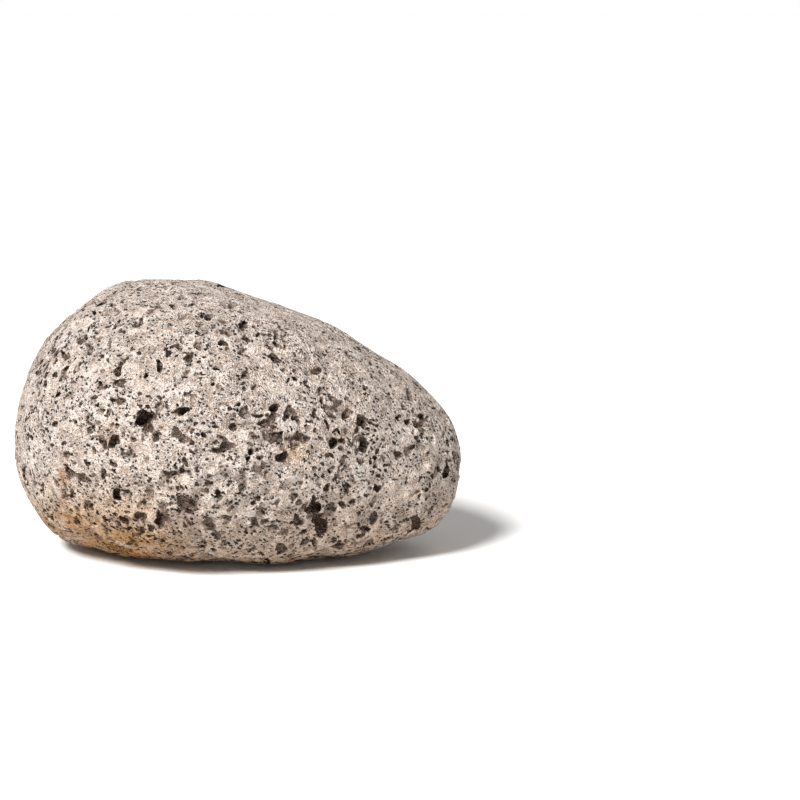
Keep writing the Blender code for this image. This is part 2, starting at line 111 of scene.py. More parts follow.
# Hollows of the broad face, in millimetres on the plane that the camera sees square on:
# (across from the middle, up from the lowest outline, long size, short size, tilt in degrees, depth,
# darkness from 0 to 1).
FACE_BUBBLES = (
    # upper left
    (-27.1, 43.3, 2.3, 2.2, 0, 1.7, 1.0), (-26.2, 44.9, 1.9, 1.3, 60, 1.2, 0.9),
    (-26.4, 40.8, 2.4, 1.5, 10, 1.7, 0.9), (-26.5, 37.0, 2.0, 1.5, 0, 1.6, 0.9),
    (-39.0, 42.5, 2.0, 1.7, 80, 1.0, 0.5), (-36.3, 43.6, 2.0, 1.5, 70, 0.9, 0.4),
    (-38.8, 47.0, 2.3, 1.1, -50, 1.1, 0.8), (-40.5, 45.5, 0.8, 0.7, 0, 0.5, 0.6),
    (-33.8, 47.5, 1.7, 1.4, 70, 0.8, 0.4), (-34.0, 55.5, 0.9, 0.8, 0, 0.8, 0.9),
    (-30.2, 58.2, 2.1, 1.0, 15, 1.2, 0.8), (-27.7, 57.4, 2.1, 1.1, -30, 0.9, 0.6),
    (-22.3, 54.3, 2.4, 1.2, 75, 1.6, 0.9), (-23.0, 52.2, 0.9, 0.7, 0, 1.0, 1.0),
    (-22.6, 50.7, 1.2, 0.7, 0, 0.8, 0.6), (-29.2, 49.6, 1.4, 0.9, -30, 1.0, 0.7),
    (-20.6, 42.6, 1.7, 1.4, 60, 1.9, 1.0), (-17.8, 43.9, 2.3, 1.4, -60, 1.5, 0.9),
    (-20.5, 48.0, 2.6, 2.4, 0, 0.5, 0.15), (-24.0, 46.5, 2.0, 1.8, 90, 0.4, 0.15),
    (-33.0, 40.8, 1.5, 0.7, 80, 0.8, 0.7), (-36.9, 34.3, 3.2, 1.1, 58, 1.1, 0.7),
    (-23.5, 38.0, 3.0, 1.5, 0, 0.4, 0.2), (-20.0, 36.7, 0.9, 0.9, 0, 1.0, 1.0),
    (-16.5, 62.2, 2.5, 1.2, 0, 0.5, 0.3), (-22.0, 63.2, 1.5, 0.5, 0, 0.5, 0.6),
    (-38.4, 53.4, 0.7, 0.7, 0, 0.6, 0.7), (-33.4, 52.6, 1.2, 0.5, 85, 0.6, 0.7),
    (-29.3, 34.0, 2.5, 1.0, 85, 0.7, 0.5), (-32.2, 30.4, 1.2, 0.7, -60, 0.7, 0.6),
    # upper middle
    (-12.6, 33.7, 3.2, 2.2, -5, 2.4, 1.0), (-13.5, 48.3, 2.4, 2.0, -35, 1.2, 0.5),
    (-15.6, 47.2, 1.5, 1.3, 40, 1.2, 0.8), (-11.4, 51.7, 1.8, 1.4, -40, 0.9, 0.5),
    (-12.0, 55.4, 3.0, 1.8, 10, 0.7, 0.3), (-6.4, 55.2, 2.4, 1.8, -10, 0.8, 0.5),
    (-8.3, 55.7, 0.9, 0.8, 0, 0.9, 0.8), (-7.3, 52.2, 2.3, 1.4, -25, 0.9, 0.5),
    (-3.9, 51.7, 1.7, 0.9, -65, 1.5, 0.9), (-3.4, 48.9, 1.6, 1.0, 80, 1.5, 0.9),
    (-14.6, 57.3, 0.9, 0.8, 90, 0.9, 0.8), (-12.5, 59.6, 1.8, 1.1, 0, 0.6, 0.3),
    (-0.8, 57.6, 2.5, 2.2, 80, 1.0, 0.4), (0.4, 56.4, 2.4, 0.9, -18, 1.4, 0.8),
    (0.0, 60.3, 1.3, 0.9, -30, 1.2, 0.9), (1.4, 53.5, 2.1, 1.8, 60, 1.3, 0.9),
    (3.2, 53.1, 1.8, 0.9, -12, 1.1, 0.8), (7.8, 46.2, 3.4, 1.7, -30, 2.0, 0.9),
    (-4.4, 43.5, 1.8, 0.9, -40, 1.5, 0.9), (-2.4, 44.3, 1.6, 1.0, -15, 1.3, 0.8),
    (-0.3, 42.2, 1.2, 1.1, 0, 0.9, 0.5), (1.2, 42.5, 1.9, 1.7, 60, 1.1, 0.5),
    (-6.3, 41.5, 2.1, 1.9, 0, 0.5, 0.25), (-5.8, 39.9, 1.0, 0.8, 0, 1.0, 0.9),
    (-3.9, 39.2, 1.8, 1.6, 30, 1.1, 0.6), (7.5, 35.0, 2.5, 2.3, 0, 2.2, 1.0),
    (7.8, 33.2, 1.6, 0.9, 0, 1.2, 0.9), (1.4, 33.9, 2.6, 2.4, 70, 1.5, 0.55),
    (1.3, 31.3, 2.2, 1.9, 0, 0.9, 0.4), (-8.0, 46.0, 2.4, 0.5, -20, 0.8, 0.8),
    (10.8, 41.2, 0.9, 0.9, 0, 0.9, 0.9), (12.7, 43.5, 1.4, 1.3, 0, 0.8, 0.5),
    (9.0, 43.6, 1.0, 0.5, 0, 0.7, 0.8), (10.5, 43.7, 1.5, 0.8, 0, 0.8, 0.7),
    (-14.3, 41.0, 1.4, 0.7, 85, 0.8, 0.6), (-17.2, 43.3, 1.3, 1.0, 0, 0.8, 0.5),
    (-10.8, 38.9, 1.0, 0.6, 0, 0.8, 0.8), (14.3, 50.6, 1.2, 0.5, 0, 0.6, 0.7),
    (5.8, 50.3, 1.0, 0.7, 90, 0.7, 0.7), (12.4, 46.3, 0.9, 0.6, 0, 0.7, 0.8),
    # upper right
    (14.1, 37.1, 2.2, 1.8, 10, 1.0, 0.4), (12.7, 40.8, 1.5, 1.0, 0, 1.2, 0.9),
    (15.2, 40.9, 2.2, 0.9, 8, 0.8, 0.5), (15.5, 43.2, 1.6, 1.4, 40, 1.0, 0.5),
    (17.4, 43.5, 2.0, 1.3, -15, 1.1, 0.8), (19.5, 42.7, 1.5, 0.8, 0, 0.8, 0.6),
    (18.5, 36.5, 1.8, 1.1, -15, 1.3, 0.8), (18.3, 38.7, 2.0, 1.4, 90, 0.8, 0.5),
    (22.3, 36.2, 2.5, 1.5, -55, 1.2, 0.5), (27.7, 32.2, 2.7, 2.6, 60, 1.7, 0.8),
    (27.0, 30.4, 1.8, 1.0, 70, 1.0, 0.6), (30.7, 32.4, 1.4, 1.1, 15, 0.9, 0.6),
    (28.2, 26.8, 2.7, 2.2, -20, 1.9, 0.9), (26.3, 28.3, 2.8, 1.8, 0, 0.9, 0.5),
    (21.3, 27.1, 1.6, 1.3, -15, 1.9, 1.0), (21.5, 32.8, 1.0, 0.7, 0, 0.8, 0.8),
    (24.4, 29.4, 0.8, 0.6, 90, 0.7, 0.7), (23.8, 47.6, 1.8, 1.0, 0, 1.0, 0.7),
    (20.9, 50.1, 1.8, 0.5, 0, 0.7, 0.8), (28.2, 39.5, 1.7, 0.9, -70, 1.2, 0.8),
    (29.4, 44.8, 1.1, 0.9, -40, 0.9, 0.7), (30.3, 43.1, 0.8, 0.8, 0, 0.7, 0.7),
    (37.7, 32.0, 1.3, 1.1, 70, 1.2, 1.0), (39.3, 31.4, 1.4, 1.0, 90, 1.0, 0.7),
    (41.2, 32.8, 2.4, 1.7, -48, 1.3, 0.8), (38.4, 37.4, 2.4, 1.8, -50, 1.2, 0.6),
    (35.8, 34.9, 1.6, 1.0, 0, 0.8, 0.5), (33.0, 30.2, 1.2, 0.9, 0, 0.8, 0.6),
    (38.1, 25.2, 2.8, 1.8, -65, 1.2, 0.5), (36.1, 24.3, 2.4, 0.9, -55, 1.4, 0.9),
    (48.3, 24.4, 1.5, 0.8, 90, 0.8, 0.7), (46.0, 28.7, 1.0, 0.8, 90, 0.8, 0.7),
    (20.2, 24.1, 1.0, 0.7, 0, 0.8, 0.8), (30.6, 24.0, 0.7, 0.7, 0, 0.7, 0.8),
    # lower left
    (-21.7, 32.6, 4.1, 3.5, 60, 2.9, 1.0), (-20.2, 30.4, 1.8, 1.3, -70, 1.6, 0.9),
    (-19.0, 28.0, 2.3, 1.3, -75, 1.5, 0.9), (-28.1, 27.4, 2.6, 2.3, 40, 2.0, 0.9),
    (-29.2, 29.8, 1.2, 0.9, 80, 0.9, 0.6), (-16.7, 26.3, 1.4, 1.0, 90, 0.9, 0.7),
    (-27.0, 32.0, 1.3, 0.6, -45, 0.8, 0.8), (-17.0, 32.0, 2.5, 0.7, -25, 0.8, 0.6),
    (-48.0, 20.3, 3.0, 1.4, 80, 1.4, 0.9), (-47.1, 16.7, 1.6, 1.0, 80, 1.0, 0.8),
    (-44.0, 16.4, 1.2, 0.9, 90, 0.8, 0.7), (-43.2, 19.7, 1.1, 0.8, 0, 0.7, 0.7),
    (-42.3, 26.1, 0.7, 0.7, 0, 0.6, 0.7), (-38.5, 24.5, 1.6, 1.2, 80, 0.8, 0.5),
    (-38.1, 22.0, 2.0, 1.0, 85, 0.8, 0.5), (-39.2, 19.0, 2.2, 1.5, 70, 1.0, 0.5),
    (-39.5, 14.7, 0.9, 0.9, 0, 0.8, 0.7), (-36.2, 24.3, 1.8, 1.6, 0, 0.5, 0.3),
    (-27.1, 14.9, 2.4, 2.2, 80, 2.1, 1.0), (-25.3, 15.9, 1.2, 1.0, 0, 1.0, 0.8),
    (-20.0, 15.2, 2.9, 2.0, 85, 1.3, 0.6), (-27.7, 21.1, 1.4, 1.0, 85, 1.0, 0.8),
    (-23.9, 22.7, 1.0, 0.7, 90, 0.8, 0.7), (-21.2, 23.1, 1.5, 1.3, 0, 0.9, 0.5),
    (-18.2, 22.9, 1.0, 0.8, 0, 0.8, 0.7), (-22.1, 20.7, 0.7, 0.7, 0, 0.7, 0.7),
    (-24.5, 24.5, 2.5, 1.0, 18, 1.0, 0.7), (-33.2, 13.9, 1.0, 0.7, 0, 0.8, 0.8),
    (-37.3, 11.3, 2.2, 1.8, 85, 0.6, 0.3), (-29.9, 10.0, 1.5, 0.6, -35, 0.8, 0.8),
    (-22.2, 10.5, 3.0, 2.1, 10, 1.2, 0.8), (-17.0, 9.7, 3.5, 2.7, 80, 1.6, 0.6),
    (-18.2, 10.0, 2.8, 1.0, 75, 1.7, 1.0), (-19.3, 8.2, 2.0, 1.8, 0, 1.0, 0.7),
    (-32.0, 5.8, 2.5, 1.6, -15, 1.5, 0.8), (-31.2, 3.8, 3.0, 1.2, 0, 1.0, 0.8),
    (-24.5, 3.3, 1.5, 0.5, -35, 0.7, 0.7), (-16.5, 5.0, 1.5, 1.2, 0, 0.9, 0.6),
    # lower middle
    (-13.7, 29.0, 3.4, 1.6, -35, 2.0, 0.9), (-5.0, 25.1, 3.0, 1.4, 5, 1.3, 0.8),
    (-2.6, 26.1, 2.6, 1.9, 35, 1.6, 0.9), (-12.9, 21.1, 2.1, 1.2, -38, 1.4, 0.8),
    (-3.6, 18.1, 1.1, 1.0, 0, 0.9, 0.7), (2.7, 23.8, 1.5, 0.9, 0, 1.2, 1.0),
    (9.7, 24.0, 2.3, 2.1, 0, 2.2, 1.0), (4.2, 20.6, 3.1, 2.7, -60, 0.9, 0.45),
    (14.5, 28.0, 2.7, 1.9, 20, 1.3, 0.8), (13.8, 26.0, 1.3, 1.0, 0, 0.9, 0.6),
    (10.1, 17.1, 1.8, 1.5, 60, 1.2, 0.7), (13.2, 16.9, 1.0, 0.6, 0, 0.8, 0.8),
    (11.5, 19.3, 1.3, 1.0, 0, 0.8, 0.6), (1.5, 16.7, 2.2, 1.9, 0, 0.9, 0.5),
    (17.0, 20.9, 1.4, 0.9, 85, 0.9, 0.7), (-11.3, 13.0, 3.7, 3.2, -40, 1.3, 0.75),
    (-10.9, 11.7, 1.8, 1.3, -20, 1.7, 1.0), (-14.8, 13.2, 1.5, 1.2, 0, 0.9, 0.6),
    (-16.8, 12.6, 1.5, 1.2, 0, 0.8, 0.5), (-6.3, 8.8, 2.9, 2.0, 80, 1.2, 0.8),
    (-4.1, 6.1, 2.0, 1.9, 0, 1.1, 0.6), (-12.8, 6.5, 1.5, 1.4, 0, 0.8, 0.5),
    (-12.2, 4.1, 1.0, 0.8, 0, 0.8, 0.7), (3.6, 9.4, 2.9, 1.6, 82, 1.2, 0.8),
    (6.0, 9.5, 1.2, 0.8, 0, 0.8, 0.7), (8.3, 14.0, 0.9, 0.9, 0, 0.8, 0.8),
    (9.5, 3.1, 3.1, 2.3, 70, 1.4, 0.7), (12.3, 4.0, 1.3, 1.0, 0, 0.8, 0.6),
    (15.0, 4.8, 1.2, 1.1, 0, 0.8, 0.6),
    # lower right
    (17.4, 12.3, 3.2, 2.7, 20, 2.6, 1.0), (18.5, 8.8, 4.0, 3.1, -75, 2.3, 1.0),
    (20.4, 11.6, 3.8, 3.2, 90, 1.6, 0.4), (16.6, 10.3, 1.6, 1.2, 85, 1.3, 0.8),
    (23.3, 12.9, 2.2, 1.6, -60, 1.4, 0.8), (22.3, 15.1, 1.5, 0.8, 0, 0.8, 0.6),
    (23.8, 21.2, 2.6, 2.4, 0, 0.6, 0.25), (23.0, 22.0, 1.9, 0.7, 50, 1.2, 0.9),
    (33.0, 22.0, 1.5, 0.9, 0, 1.2, 0.8), (35.6, 20.8, 1.6, 0.6, -20, 1.1, 0.8),
    (31.2, 17.0, 2.4, 1.4, -65, 1.2, 0.7), (32.5, 17.2, 0.7, 0.7, 0, 0.6, 0.6),
    (30.0, 13.5, 1.6, 0.9, 85, 0.9, 0.7), (30.1, 9.8, 2.1, 1.3, 70, 1.3, 0.8),
    (23.0, 19.0, 1.2, 1.1, 0, 0.8, 0.6), (28.2, 7.0, 2.0, 1.0, 85, 0.9, 0.6),
    (39.8, 8.8, 2.6, 2.2, 60, 1.7, 0.9), (38.3, 7.4, 2.0, 1.5, 0, 0.9, 0.5),
    (47.0, 12.3, 1.1, 1.0, 0, 0.8, 0.7), (46.3, 20.5, 2.6, 1.4, 62, 1.4, 1.0),
    (43.3, 19.9, 0.8, 0.7, 0, 0.7, 0.7), (22.2, 3.4, 2.6, 1.3, 0, 1.4, 0.7),
    (28.5, 4.1, 3.0, 0.9, 20, 0.9, 0.7), (33.0, 5.6, 1.0, 0.8, 0, 0.8, 0.7),
    (36.0, 12.7, 0.8, 0.8, 0, 0.7, 0.7), (38.2, 12.7, 0.8, 0.8, 0, 0.7, 0.7),
    (30.2, 21.5, 0.8, 0.8, 0, 0.7, 0.8),
)

# Stains of the broad face on the same plane: (name, across, up, half width, half height, strength).
STAINS = (
    ("ochre", -26.0, 4.0, 14.0, 6.5, 1.0), ("ochre", -37.0, 9.0, 9.0, 6.0, 0.8),
    ("ochre", -30.0, 10.0, 17.0, 9.0, 0.45),
    ("ochre", 13.0, 25.0, 3.6, 3.2, 0.5), ("rust", -39.0, 19.5, 1.8, 5.5, 0.8),
    ("rust", -29.0, 29.0, 2.6, 3.0, 0.5), ("violet", -17.0, 9.7, 2.6, 2.6, 0.9),
    ("violet", -11.0, 12.0, 3.4, 3.0, 0.6), ("violet", -25.0, 18.0, 2.2, 2.2, 0.4),
)


def srgb(text):
    """The linear colour of an sRGB hex value."""
    values = [int(text[k : k + 2], 16) / 255 for k in (1, 3, 5)]
    return tuple(v / 12.92 if v <= 0.04045 else ((v + 0.055) / 1.055) ** 2.4 for v in values)


class StoneForm(PropertyGroup):
    """The worn outer form of the stone"""

    half_length: FloatProperty(
        name="Half length", description="Half the stone's length", default=49.8 * MM, unit="LENGTH"
    )
    middle_height: FloatVectorProperty(
        name="Middle height",
        description="Height of the section's middle at nine steps along the stone",
        size=9,
        default=[v * MM for v in MIDDLE_HEIGHT],
        unit="LENGTH",
    )
    half_height: FloatVectorProperty(
        name="Half height",
        description="Half the height of a full round at the same nine steps",
        size=9,
        default=[v * MM for v in HALF_HEIGHT],
        unit="LENGTH",
    )
    front_reach: FloatVectorProperty(
        name="Front reach",
        description="How far the broad face stands out at the same nine steps",
        size=9,
        default=[v * MM for v in FRONT_REACH],
        unit="LENGTH",
    )
    back_reach: FloatVectorProperty(
        name="Back reach",
        description="How far the back stands out at the same nine steps",
        size=9,
        default=[v * MM for v in BACK_REACH],
        unit="LENGTH",
    )
    belly: FloatProperty(
        name="Belly", description="How much wider the stone is below its middle", default=0.10
    )
    shoulder: FloatProperty(
        name="Shoulder", description="How full the section's shoulders are", default=0.035
    )
    base_blend: FloatProperty(
        name="Base blend",
        description="Height over which the worn flat blends into the underside",
        default=0.7 * MM,
        unit="LENGTH",
    )


class StoneFoam(PropertyGroup):
    """The bubbles, dents and crumbs of the foam, and how finely they are made"""

    cell: FloatProperty(
        name="Cell",
        description="Spacing of the lattice that the foam is blown in",
        default=0.27 * MM,
        unit="LENGTH",
    )
    facets: IntProperty(
        name="Facets", description="Most triangles that the stone is made of", default=192000
    )
    seed: IntProperty(name="Seed", description="Seed of the scattered bubbles", default=7)
    small: IntProperty(
        name="Small bubbles", description="How many small bubbles are scattered all over", default=7500
    )
    large: IntProperty(
        name="Large bubbles",
        description="How many large bubbles are scattered off the broad face",
        default=480,
    )
    dents: FloatProperty(
        name="Dents",
        description="How far the skin is worn in between the bubbles",
        default=0.45 * MM,
        unit="LENGTH",
    )
    crumbs: FloatProperty(
        name="Crumbs",
        description="How far the walls of the bubbles are from smooth",
        default=0.24 * MM,
        unit="LENGTH",
    )
    warp: FloatProperty(
        name="Warp",
        description="How far the bubbles are pulled out of round",
        default=1.0 * MM,
        unit="LENGTH",
    )


class StoneColours(PropertyGroup):
    """The colours of the pumice and of its stains"""

    skin: FloatVectorProperty(
        name="Skin",
        description="Worn cell walls between the bubbles",
        subtype="COLOR",
        size=3,
        default=srgb("#E6D6C9"),
    )
    # Pale rock flour in patches; on the rims of the bubbles it is partly worn skin and partly a painted
    # highlight.
    flour_and_highlight: FloatVectorProperty(
        name="Dust",
        description="Pale rock flour on the rims",
        subtype="COLOR",
        size=3,
        default=srgb("#F4EAE2"),
    )
    pore: FloatVectorProperty(
        name="Pore",
        description="Unworn glass inside shallow bubbles",
        subtype="COLOR",
        size=3,
        default=srgb("#7F6049"),
    )
    deep: FloatVectorProperty(
        name="Deep pore",
        description="Dirt and shade at the bottom of deep bubbles",
        subtype="COLOR",
        size=3,
        default=srgb("#261308"),
    )
    ochre: FloatVectorProperty(
        name="Ochre",
        description="Yellow iron stain over the skin",
        subtype="COLOR",
        size=3,
        default=srgb("#EFCC93"),
    )
    rust: FloatVectorProperty(
        name="Rust",
        description="Brown iron stain over the skin",
        subtype="COLOR",
        size=3,
        default=srgb("#B8926C"),
    )
    violet: FloatVectorProperty(
        name="Violet",
        description="Violet grey tinge over the skin",
        subtype="COLOR",
        size=3,
        default=srgb("#C9BFC9"),
    )
    # Darker and warmer towards the bottom: partly dirt, partly painted shade under the light from above.
    soil: FloatVectorProperty(
        name="Soil",
        description="Dirt over the skin low down",
        subtype="COLOR",
        size=3,
        default=srgb("#ECDAC9"),
    )


class Studio(PropertyGroup):
    """The camera, the lights and the floor"""

    lens: FloatProperty(
        name="Lens", description="Focal length of the camera", default=100.0, unit="CAMERA"
    )
    elevation: FloatProperty(
        name="Elevation",
        description="How far above level the camera looks from",
        default=math.radians(10.0),
        subtype="ANGLE",
    )
    distance: FloatProperty(
        name="Distance",
        description="From the camera to the point that it aims at",
        default=510.0 * MM,
        unit="LENGTH",
    )
    aim: FloatVectorProperty(
        name="Aim",
        description="Where the camera aims, across and up in its own view from the origin",
        size=2,
        default=(36.6 * MM, 33.6 * MM),
        unit="LENGTH",
    )
    plane_distance: FloatProperty(
        name="Plane distance",
        description="From the camera to the plane that the hollows of the broad face are measured on",
        default=496.0 * MM,
        unit="LENGTH",
    )
    plane_aim: FloatVectorProperty(
        name="Plane aim",
        description="Where the camera aims on that plane, measured like the hollows",
        size=2,
        default=(36.05 * MM, 36.6 * MM),
        unit="LENGTH",
    )
    sky: FloatProperty(
        name="Sky", description="Strength of the light from above all round", default=0.2
    )
    horizon: FloatProperty(
        name="Horizon", description="Strength of the white room where it meets the floor", default=1.0
    )
    key: FloatProperty(name="Key light", description="Strength of the key light", default=5.0)
    key_softness: FloatProperty(
        name="Key softness",
        description="How wide the key light looks from the stone",
        default=math.radians(18.0),
        subtype="ANGLE",
    )
    key_from: FloatVectorProperty(
        name="Key from",
        description="Direction that the key light comes from",
        default=(-0.42, -0.54, 0.73),
    )
    fill: FloatProperty(
        name="Fill light", description="Strength of the light on the back of the stone", default=1.0
    )
    fill_softness: FloatProperty(
        name="Fill softness",
        description="How wide the fill light looks from the stone",
        default=math.radians(60.0),
        subtype="ANGLE",
    )
    fill_from: FloatVectorProperty(
        name="Fill from",
        description="Direction that the fill light comes from",
        default=(0.35, 0.85, 0.40),
    )
    floor: FloatVectorProperty(
        name="Floor",
        description="Colour of the floor",
        subtype="COLOR",
        size=3,
        default=srgb("#F7F6F4"),
    )
    floor_size: FloatProperty(
        name="Floor size", description="Length of the floor's sides", default=60.0, unit="LENGTH"
    )


# The worn form


def along(row, t):
    """The row's value at t, from -1 to 1 along the stone, on a smooth curve through all its steps."""
    row = np.array(row, np.float32) / MM
    padded = np.concatenate([[2 * row[0] - row[1]], row, [2 * row[-1] - row[-2]]])
    place = (np.clip(t, -1, 1) + 1) / 2 * (len(row) - 1)
    step = np.clip(np.floor(place).astype(int), 0, len(row) - 2)
    f = place - step
    before, start, end, after = (padded[step + k] for k in range(4))
    bend = 2 * before - 5 * start + 4 * end - after
    turn = 3 * start - 3 * end + after - before
    return (start + 0.5 * f * (end - before + f * (bend + f * turn))).astype(np.float32)


def swell(x, y, z):
    """Height of the low swells: a sum of plane waves in seeded directions."""
    rng = np.random.default_rng(SWELL_SEED)
    height = 0
    for amount, wavelength in SWELLS:
        way = rng.normal(size=3)
        way *= 2 * math.pi / wavelength / np.linalg.norm(way)
        wx, wy, wz = way.astype(np.float32)
        phase = rng.uniform(0, 2 * math.pi)
        height = height + np.float32(amount) * np.sin(wx * x + wy * y + wz * z + phase)
    return height


def above_skin(form, x, y, z):
    """Height above the worn skin in millimetres, negative inside.

    A point is unrolled to the unit ball: t along the length, a across and b up, each over the reach
    that the stone has there. Its distance from the ball's surface, times the reach that it was divided
    by, is its height. The underside is first stretched down by the inverse of the blend that wears
    it flat.
    """
    blend = form.base_blend / MM
    worn = np.where(z < blend, 2 * np.sqrt(blend * np.maximum(z, 0)) - blend, z)
    half = form.half_length / MM
    t = x / half
    a = y / np.where(y < 0, along(form.front_reach, t), along(form.back_reach, t))
    half_height = along(form.half_height, t)
    b = (worn - along(form.middle_height, t)) / half_height
    a = a / (1 - form.belly * b / np.sqrt(t * t + a * a + b * b + 1e-9))
    across = a * a + b * b
    ball = t * t + across
    shoulder = 1 + 4 * form.shoulder * a * a * b * b / (np.maximum(across, 1e-6) * ball)
    ball = np.sqrt(t * t + across / (shoulder * shoulder))
    slope = np.sqrt((t / half) ** 2 + (a / half_height) ** 2 + (b / half_height) ** 2 + 1e-12)
    height = (ball - 1) * ball / slope - swell(x, y, worn)
    return np.where(z < 0, np.maximum(height, -z), height).astype(np.float32)


def skin_normals(form, points):
    """Unit normals: how the height above the skin changes over a small step along each axis."""
    step = 0.2
    sides = [np.eye(3)[axis] * step for axis in range(3)]
    rise = [above_skin(form, *(points + s).T) - above_skin(form, *(points - s).T) for s in sides]
    normals = np.stack(rise, axis=1)
    return normals / np.linalg.norm(normals, axis=1)[:, None]


# The broad face, as the camera sees it


def sight(studio):
    """The camera's place, look and up directions, in millimetres."""
    slope = studio.elevation
    look = np.array([0, math.cos(slope), -math.sin(slope)])
    up = np.array([0, math.sin(slope), math.cos(slope)])
    aim = (np.array([studio.aim[0], 0, 0]) + up * studio.aim[1]) / MM
    return aim - look * studio.distance / MM, look, up


def on_face(form, studio, across, height):
    """Points of the skin behind these places of the sight plane: the first place along each ray from
    the camera where the height above the skin turns negative, found between two steps. The steps
    begin before the stone and end behind it."""
    eye, look, up = sight(studio)
    sideways = np.outer(across - studio.plane_aim[0] / MM, [1, 0, 0])
    upward = np.outer(height - studio.plane_aim[1] / MM, up)
    rays = look * studio.plane_distance / MM + sideways + upward
    rays /= np.linalg.norm(rays, axis=1)[:, None]
    step = 0.5
    reach = np.arange(440, 570, step)
    points = eye + rays[:, None, :] * reach[None, :, None]
    heights = above_skin(form, *np.moveaxis(points, 2, 0))
    last = np.clip((heights < 0).argmax(axis=1), 1, len(reach) - 1)
    rows = np.arange(len(rays))
    out, inside = heights[rows, last - 1], heights[rows, last]
    part = out / np.where(out == inside, 1, out - inside)
    return eye + rays * (reach[last - 1] + step * part)[:, None]


# Bubbles: each is a centre, a matrix that takes the bubble to the unit ball, a size and a darkness


def bubbles(points, normals, first, second, depth, sink, dark):
    """Ellipsoids with half axes first and second along the skin and depth under it. The middle lies at
    the given share of the depth under the skin, which makes the mouth narrower than the bubble."""
    under = sink * depth / (1 + sink)
    widen = 1 / np.sqrt(1 - np.minimum(sink, 0.9) ** 2)
    columns = [first * widen[:, None], second * widen[:, None], normals * (depth - under)[:, None]]
    shape = np.stack(columns, axis=2)
    radii = np.linalg.norm(shape, axis=1)
    return {
        "centre": points - normals * under[:, None],
        "to_ball": np.linalg.inv(shape),
        "thin": radii.min(axis=1),
        "wide": radii.max(axis=1),
        "dark": dark,
    }


def face_bubbles(form, studio):
    """The hollows of the broad face. Each ellipse of the sight plane is carried to the skin along the
    sight line, so that it keeps its outline where the skin turns away, up to two and a half times
    its width. The darker a hollow is, the narrower its mouth."""
    across, height, long, short, tilt, depth, dark = np.array(FACE_BUBBLES, float).T
    points = on_face(form, studio, across, height)
    normals = skin_normals(form, points)
    _, look, up = sight(studio)
    facing = np.minimum(normals @ look, -0.4)
    right = np.array([1.0, 0, 0]) - np.outer(normals[:, 0] / facing, look)
    upward = up - np.outer(normals @ up / facing, look)
    cos, sin = np.cos(np.radians(tilt))[:, None], np.sin(np.radians(tilt))[:, None]
    first = (right * cos + upward * sin) * (long / 2)[:, None]
    second = (upward * cos - right * sin) * (short / 2)[:, None]
    return bubbles(points, normals, first, second, depth, np.clip(dark - 0.55, -0.3, 0.35), dark)


def power_law(rng, low, high, fall, count):
    """Random sizes from low to high: how many exceed a size falls with that power of the size."""
    return rng.uniform(high**-fall, low**-fall, count) ** (-1 / fall)


def scattered(form, rng, points, long):
    """Bubbles of these lengths at these points of the skin, drawn out along the grain of the foam.
    Those worn wide open are shallow and pale, and the others are deep and dark with a narrow mouth."""
    count = len(points)
    normals = skin_normals(form, points)
    grain = np.array(GRAIN) + rng.normal(0, 0.45, (count, 3))
    first = grain - normals * np.sum(grain * normals, axis=1)[:, None]
    first /= np.linalg.norm(first, axis=1)[:, None]
    second = np.cross(normals, first)
    stretch = rng.uniform(1.0, 1.9, count)
    open_up = rng.uniform(0, 1, count) < OPEN_SHARE
    depth = long * np.where(open_up, rng.uniform(0.2, 0.5, count), rng.uniform(0.6, 1.1, count))
    sink = np.where(open_up, -0.3, rng.uniform(0.1, 0.5, count))
    dark = np.where(open_up, rng.uniform(0.1, 0.6, count), rng.uniform(0.7, 1.0, count))
    first = first * (long / 2 * np.sqrt(stretch))[:, None]
    second = second * (long / 2 / np.sqrt(stretch))[:, None]
    return bubbles(points, normals, first, second, depth, sink, dark)


def scatter(form, foam, studio, height, axes, placed):
    """Seeded bubbles at random places of the skin, gathered in clumps and fewer towards the top.
    Large ones stay off the broad face, and small ones keep off the middle of its hollows."""
    rng = np.random.default_rng(foam.seed)
    near = np.flatnonzero(np.abs(height) < foam.cell / MM / 2)
    clumps = smooth_noise(rng, axes, CLUMP_SPACING)
    eye, _, _ = sight(studio)
    groups = []
    for count, (low, high, fall) in ((foam.small, SMALL_BUBBLES), (foam.large, LARGE_BUBBLES)):
        # Twice the places that are wanted, because the clumps leave some of them empty.
        cells = np.unravel_index(rng.choice(near, count * 2, replace=False), height.shape)
        chance = np.clip(0.75 + 1.6 * clumps[cells] - axes[2][cells[2]] / 120, 0, 1)
        cells = np.stack(cells)[:, rng.uniform(0, 1, count * 2) < chance][:, :count]
        points = np.stack([axis[k] for axis, k in zip(axes, cells)], axis=1)
        count = len(points)
        long = power_law(rng, low, high, fall, count)
        ways = eye - points
        ways /= np.linalg.norm(ways, axis=1)[:, None]
        seen = np.sum(skin_normals(form, points) * ways, axis=1) > 0.15
        gaps = np.linalg.norm(points[:, None] - placed["centre"], axis=2) - placed["wide"]
        # The broad face takes scattered bubbles under 1.3 mm, and none inside a hollow.
        keep = ~seen if low > 1 else (gaps.min(axis=1) > -0.3) & (~seen | (long < 1.3))
        keep &= (points[:, 2] >= FLAT_HEIGHT) | (np.hypot(points[:, 0], points[:, 1]) >= FLAT_RADIUS)
        groups.append(scattered(form, rng, points[keep], long[keep]))
    return groups


def smooth_noise(rng, axes, spacing):
    """Smooth random values: one is drawn every spacing, and cubic B-splines blend them along x, y and z."""
    weights = []
    for axis in axes:
        place = (axis - axis[0]) / spacing
        count = int(place[-1]) + 4
        far = np.abs(place[:, None] + 1 - np.arange(count))
        near = 2 / 3 - far**2 + far**3 / 2
        weights.append(np.where(far < 1, near, np.maximum(2 - far, 0) ** 3 / 6).astype(np.float32))
    values = rng.uniform(-1, 1, [w.shape[1] for w in weights]).astype(np.float32)
    for weight in weights:
        values = np.tensordot(values, weight, axes=(0, 1))
    return values


